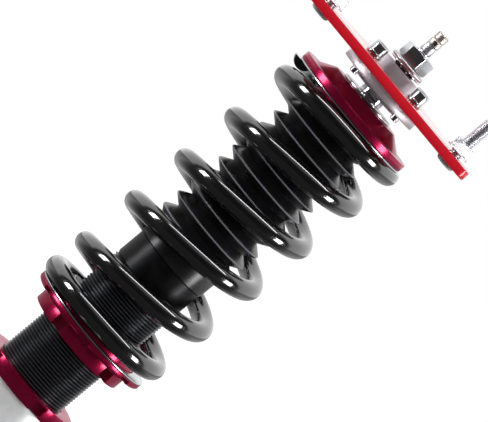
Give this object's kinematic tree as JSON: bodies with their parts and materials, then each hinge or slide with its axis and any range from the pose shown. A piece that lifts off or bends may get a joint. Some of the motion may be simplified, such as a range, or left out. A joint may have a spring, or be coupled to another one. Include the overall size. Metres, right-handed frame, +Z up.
{
  "type": "coilover",
  "caption": "Threaded coilover strut with a camber plate and spherical top bearing, coil spring, dust boot, threaded seat and rings, and a clevis knuckle bracket.",
  "frame": {"origin": "on the strut's axis, in the camber plate's top face, which bolts up under the car's tower", "axes": "+Z up along the strut; -Y towards the two front studs and the knuckle bracket's mouth; the camber slots run along Y; X across the bracket's two ears"},
  "size_m": [0.141, 0.1412, 0.4345],
  "materials": {
    "red_anodised_aluminium": "red anodised, satin",
    "magenta_anodised_aluminium": "magenta anodised, glossy",
    "zinc_plated_steel": "bright zinc plate",
    "hard_chromed_steel": "polished",
    "machined_aluminium": "machined",
    "black_coated_steel": "black coating, satin",
    "black_powder_coat": "gloss black powder coat",
    "blackened_steel": "black oxide",
    "black_rubber": "moulded",
    "polyurethane_foam": "closed-cell foam",
    "brass": "knurled",
    "sintered_bronze": "oil-filled, matt",
    "ptfe_liner": "woven liner"
  },
  "bodies": {
    "tower_plate": {"camber_plate": "red_anodised_aluminium", "tower_stud_left": "zinc_plated_steel", "tower_stud_right": "zinc_plated_steel", "tower_stud_back": "zinc_plated_steel", "tower_nut_left": "zinc_plated_steel", "tower_nut_right": "zinc_plated_steel", "tower_nut_back": "zinc_plated_steel"},
    "bearing_carrier": {"bearing_housing": "machined_aluminium", "race_circlip": "blackened_steel", "bearing_race": "zinc_plated_steel", "housing_screw_front_left": "zinc_plated_steel", "housing_screw_front_right": "zinc_plated_steel", "housing_screw_back_left": "zinc_plated_steel", "housing_screw_back_right": "zinc_plated_steel", "screw_washer_front_left": "zinc_plated_steel", "screw_washer_front_right": "zinc_plated_steel", "screw_washer_back_left": "zinc_plated_steel", "screw_washer_back_right": "zinc_plated_steel"},
    "liner": {"bearing_liner": "ptfe_liner"},
    "rod": {"bearing_ball": "hard_chromed_steel", "upper_cone_spacer": "hard_chromed_steel", "top_washer": "zinc_plated_steel", "top_nut": "zinc_plated_steel", "lower_cone_spacer": "hard_chromed_steel", "perch_washer": "zinc_plated_steel", "rod_step_washer": "zinc_plated_steel", "adjuster_bush": "zinc_plated_steel", "upper_spring_perch": "magenta_anodised_aluminium", "piston_rod": "hard_chromed_steel", "rebound_shims": "zinc_plated_steel", "damper_piston": "machined_aluminium", "piston_band": "ptfe_liner", "compression_shims": "zinc_plated_steel", "piston_nut": "zinc_plated_steel", "bump_stop": "polyurethane_foam"},
    "adjuster": {"adjuster_knob": "brass", "adjuster_needle": "hard_chromed_steel", "knob_grub_screw": "blackened_steel"},
    "spring_turn": {"perch_slip_washer": "zinc_plated_steel"},
    "strut": {"damper_body": "black_coated_steel", "rod_guide": "machined_aluminium", "rod_wiper": "black_rubber", "rod_seal": "black_rubber", "guide_bush": "sintered_bronze", "guide_o_ring": "black_rubber", "base_cap": "blackened_steel", "gas_fill_screw": "zinc_plated_steel", "dust_boot": "black_rubber"},
    "floating_piston": {"gas_piston": "machined_aluminium", "gas_piston_o_ring": "black_rubber"},
    "seat": {"spring_seat": "magenta_anodised_aluminium", "seat_slip_washer": "zinc_plated_steel", "coil_spring": "black_powder_coat"},
    "collar": {"lock_collar": "magenta_anodised_aluminium"},
    "lock_ring": {"lower_lock_ring": "magenta_anodised_aluminium"},
    "bracket": {"knuckle_bracket": "zinc_plated_steel"}
  },
  "joints": [
    {"name": "camber_slide", "type": "slide", "parent": "tower_plate", "child": "bearing_carrier", "axis": [0, 1, 0], "range_m": [-0.009, 0.009]},
    {"name": "tilt_x", "type": "hinge", "parent": "bearing_carrier", "child": "liner", "pos_m": [0, 0, -0.0023], "axis": [1, 0, 0], "range_deg": [-4, 4]},
    {"name": "tilt_y", "type": "hinge", "parent": "liner", "child": "rod", "pos_m": [0, 0, -0.0023], "axis": [0, 1, 0], "range_deg": [-4, 4]},
    {"name": "steer", "type": "hinge", "parent": "rod", "child": "spring_turn", "pos_m": [0, 0, -0.0336], "axis": [0, 0, 1], "continuous": true},
    {"name": "stroke", "type": "slide", "parent": "spring_turn", "child": "strut", "axis": [0, 0, 1], "range_m": [0, 0.075], "stiffness_N_per_m": 70000, "deforming": ["coil_spring", "dust_boot"]},
    {"name": "seat_height", "type": "slide", "parent": "strut", "child": "seat", "axis": [0, 0, 1], "range_m": [-0.018, 0]},
    {"name": "collar_backoff", "type": "slide", "parent": "seat", "child": "collar", "axis": [0, 0, 1], "range_m": [-0.006, 0]},
    {"name": "lower_ring_height", "type": "slide", "parent": "strut", "child": "lock_ring", "axis": [0, 0, 1], "range_m": [0, 0.007]},
    {"name": "bracket_height", "type": "slide", "parent": "strut", "child": "bracket", "axis": [0, 0, 1], "range_m": [-0.015, 0]},
    {"name": "adjuster_turn", "type": "hinge", "parent": "rod", "child": "adjuster", "pos_m": [0, 0, 0.0304], "axis": [0, 0, 1], "range_deg": [0, 540]},
    {"name": "gas_piston_slide", "type": "slide", "parent": "strut", "child": "floating_piston", "axis": [0, 0, 1], "range_m": [-0.0126, 0]}
  ],
  "couplings": [
    {"joint": "gas_piston_slide", "follows": "stroke", "ratio": -0.16435}
  ]
}
